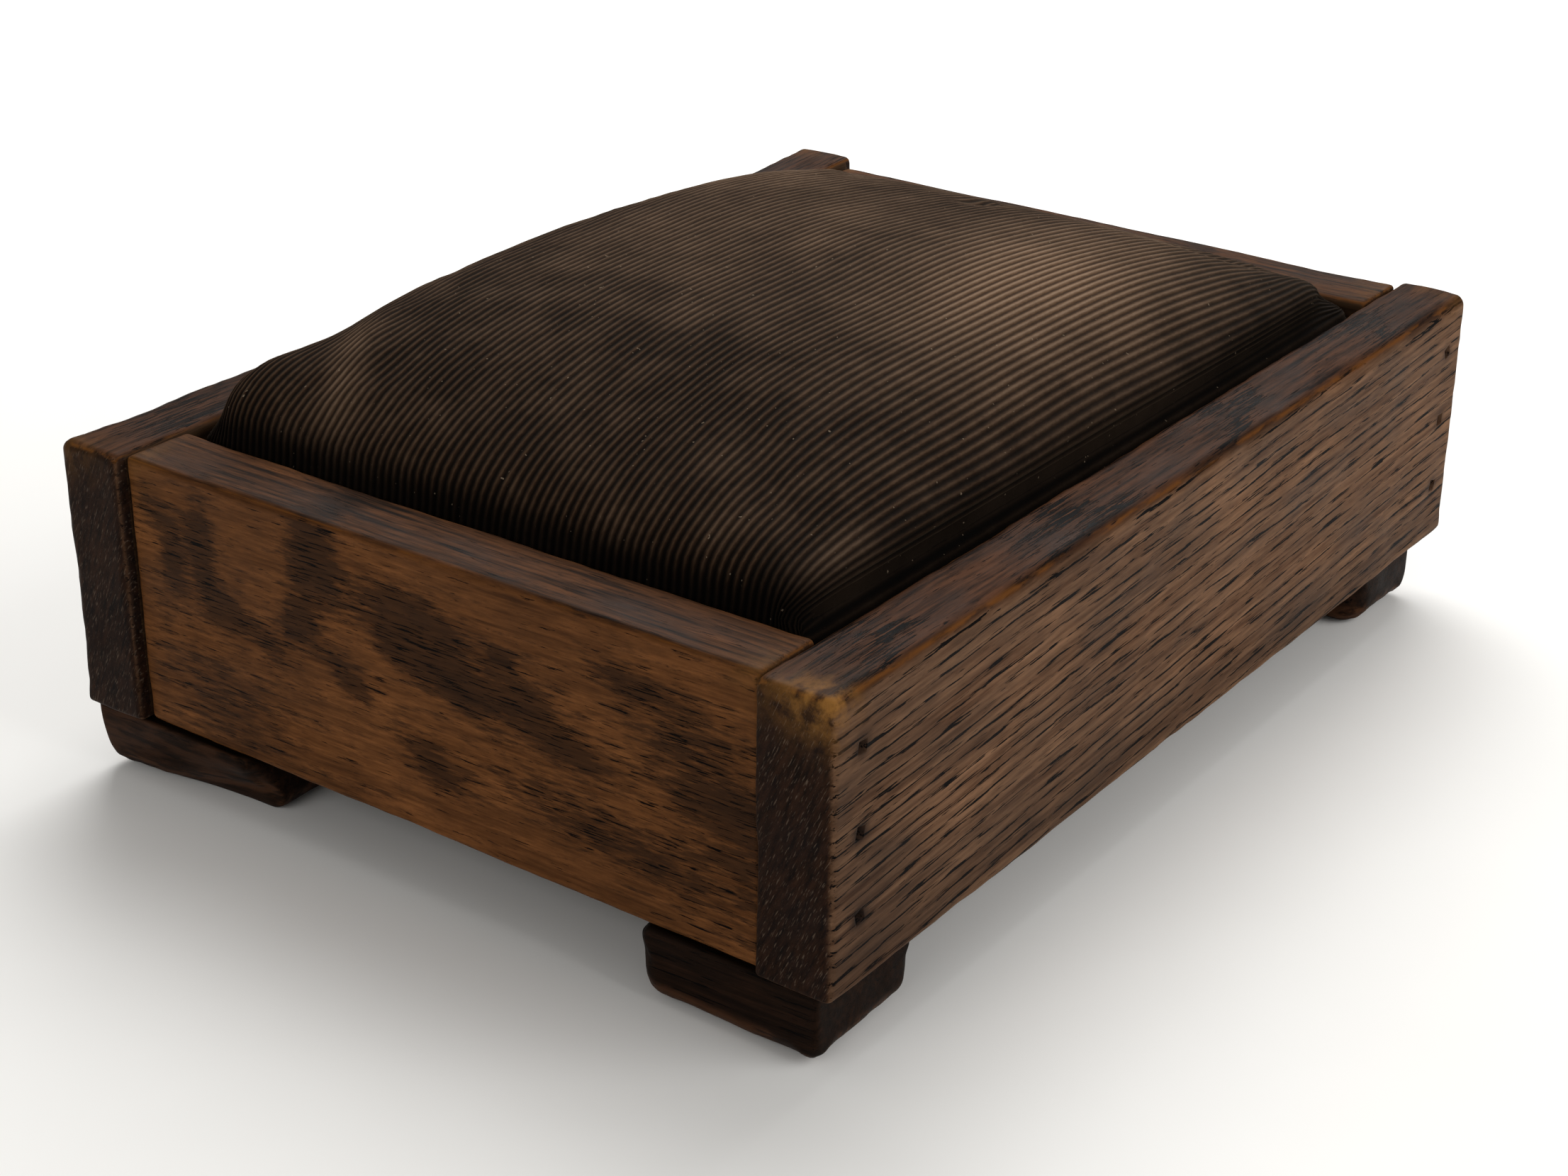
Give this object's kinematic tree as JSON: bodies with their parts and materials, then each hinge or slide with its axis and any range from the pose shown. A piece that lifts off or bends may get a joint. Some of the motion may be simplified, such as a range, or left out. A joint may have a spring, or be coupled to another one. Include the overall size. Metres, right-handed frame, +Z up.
{
  "type": "box footstool with drop-in pad",
  "caption": "Low nailed oak box footstool on block feet, with a crowned corduroy pad that drops in onto cleats and lifts out.",
  "frame": {"origin": "centre of the footstool's plan, on the floor under the feet", "axes": "+X along the long boards, +Y from the front long board to the back one, +Z up"},
  "size_m": [0.305, 0.228, 0.1183],
  "materials": {
    "side_oak": "dark stained oak, open grain, worn wax",
    "end_oak": "dark stained flat-sawn oak, worn wax",
    "foot_oak": "near-black stained oak",
    "pine": "raw aged pine",
    "nail_iron": "dark oxidised cut nail",
    "tack_steel": "dull blued steel",
    "stuffing": "horsehair and wadding",
    "corduroy": "worn dark brown corduroy, wales along the length"
  },
  "bodies": {
    "frame": {"side_board_front": "side_oak", "side_board_back": "side_oak", "end_board_left": "end_oak", "end_board_right": "end_oak", "foot_front_left": "foot_oak", "foot_front_right": "foot_oak", "foot_back_left": "foot_oak", "foot_back_right": "foot_oak", "cleat_front": "pine", "cleat_back": "pine", "frame_nail_front_left_bottom": "nail_iron", "frame_nail_front_left_middle": "nail_iron", "frame_nail_front_left_top": "nail_iron", "frame_nail_front_right_bottom": "nail_iron", "frame_nail_front_right_middle": "nail_iron", "frame_nail_front_right_top": "nail_iron", "frame_nail_back_left_bottom": "nail_iron", "frame_nail_back_left_middle": "nail_iron", "frame_nail_back_left_top": "nail_iron", "frame_nail_back_right_bottom": "nail_iron", "frame_nail_back_right_middle": "nail_iron", "frame_nail_back_right_top": "nail_iron", "foot_nail_front_left_outer": "nail_iron", "foot_nail_front_left_inner": "nail_iron", "foot_nail_front_right_outer": "nail_iron", "foot_nail_front_right_inner": "nail_iron", "foot_nail_back_left_outer": "nail_iron", "foot_nail_back_left_inner": "nail_iron", "foot_nail_back_right_outer": "nail_iron", "foot_nail_back_right_inner": "nail_iron", "cleat_nail_front_1": "nail_iron", "cleat_nail_front_2": "nail_iron", "cleat_nail_front_3": "nail_iron", "cleat_nail_back_1": "nail_iron", "cleat_nail_back_2": "nail_iron", "cleat_nail_back_3": "nail_iron"},
    "pad": {"pad_board": "pine", "pad_stuffing": "stuffing", "pad_cover": "corduroy", "cover_tack_front_1": "tack_steel", "cover_tack_front_2": "tack_steel", "cover_tack_front_3": "tack_steel", "cover_tack_front_4": "tack_steel", "cover_tack_back_1": "tack_steel", "cover_tack_back_2": "tack_steel", "cover_tack_back_3": "tack_steel", "cover_tack_back_4": "tack_steel", "cover_tack_left_1": "tack_steel", "cover_tack_left_2": "tack_steel", "cover_tack_left_3": "tack_steel", "cover_tack_right_1": "tack_steel", "cover_tack_right_2": "tack_steel", "cover_tack_right_3": "tack_steel"}
  },
  "joints": [
    {"name": "pad_lift", "type": "slide", "parent": "frame", "child": "pad", "axis": [0, 0, 1], "range_m": [0, 0.045]}
  ]
}
